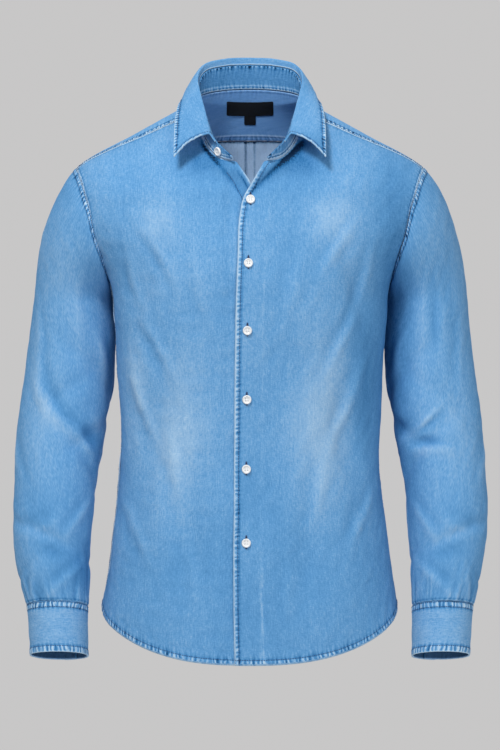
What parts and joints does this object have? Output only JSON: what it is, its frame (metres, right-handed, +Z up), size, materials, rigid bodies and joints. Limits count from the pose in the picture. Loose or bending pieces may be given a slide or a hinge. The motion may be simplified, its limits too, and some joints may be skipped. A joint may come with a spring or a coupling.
{
  "type": "denim shirt",
  "caption": "Long-sleeved denim shirt with an open pointed collar, yoke, curved hem, buttoned front and round cuffs, filled out as worn.",
  "frame": {"origin": "middle of the neck at the height of the high shoulder points, where the wearer holds the shirt up", "axes": "+Z up; the front faces -Y; +X is the wearer's left"},
  "size_m": [0.6318, 0.2735, 0.8224],
  "materials": {
    "denim": "washed mid-blue denim, matt",
    "button": "white, soft gloss",
    "tape": "black woven tape"
  },
  "bodies": {
    "root": {"front_left": "denim", "front_right": "denim", "back": "denim", "yoke": "denim", "sleeve_left": "denim", "sleeve_right": "denim", "cuff_left": "denim", "cuff_right": "denim", "sleeve_placket_left": "denim", "sleeve_placket_right": "denim", "collar_stand": "denim", "collar_leaf": "denim", "button_1": "button", "button_2": "button", "button_3": "button", "button_4": "button", "button_5": "button", "button_6": "button", "button_collar": "button", "button_cuff_left": "button", "button_cuff_right": "button", "neck_label": "tape", "size_tab": "tape"}
  },
  "joints": []
}
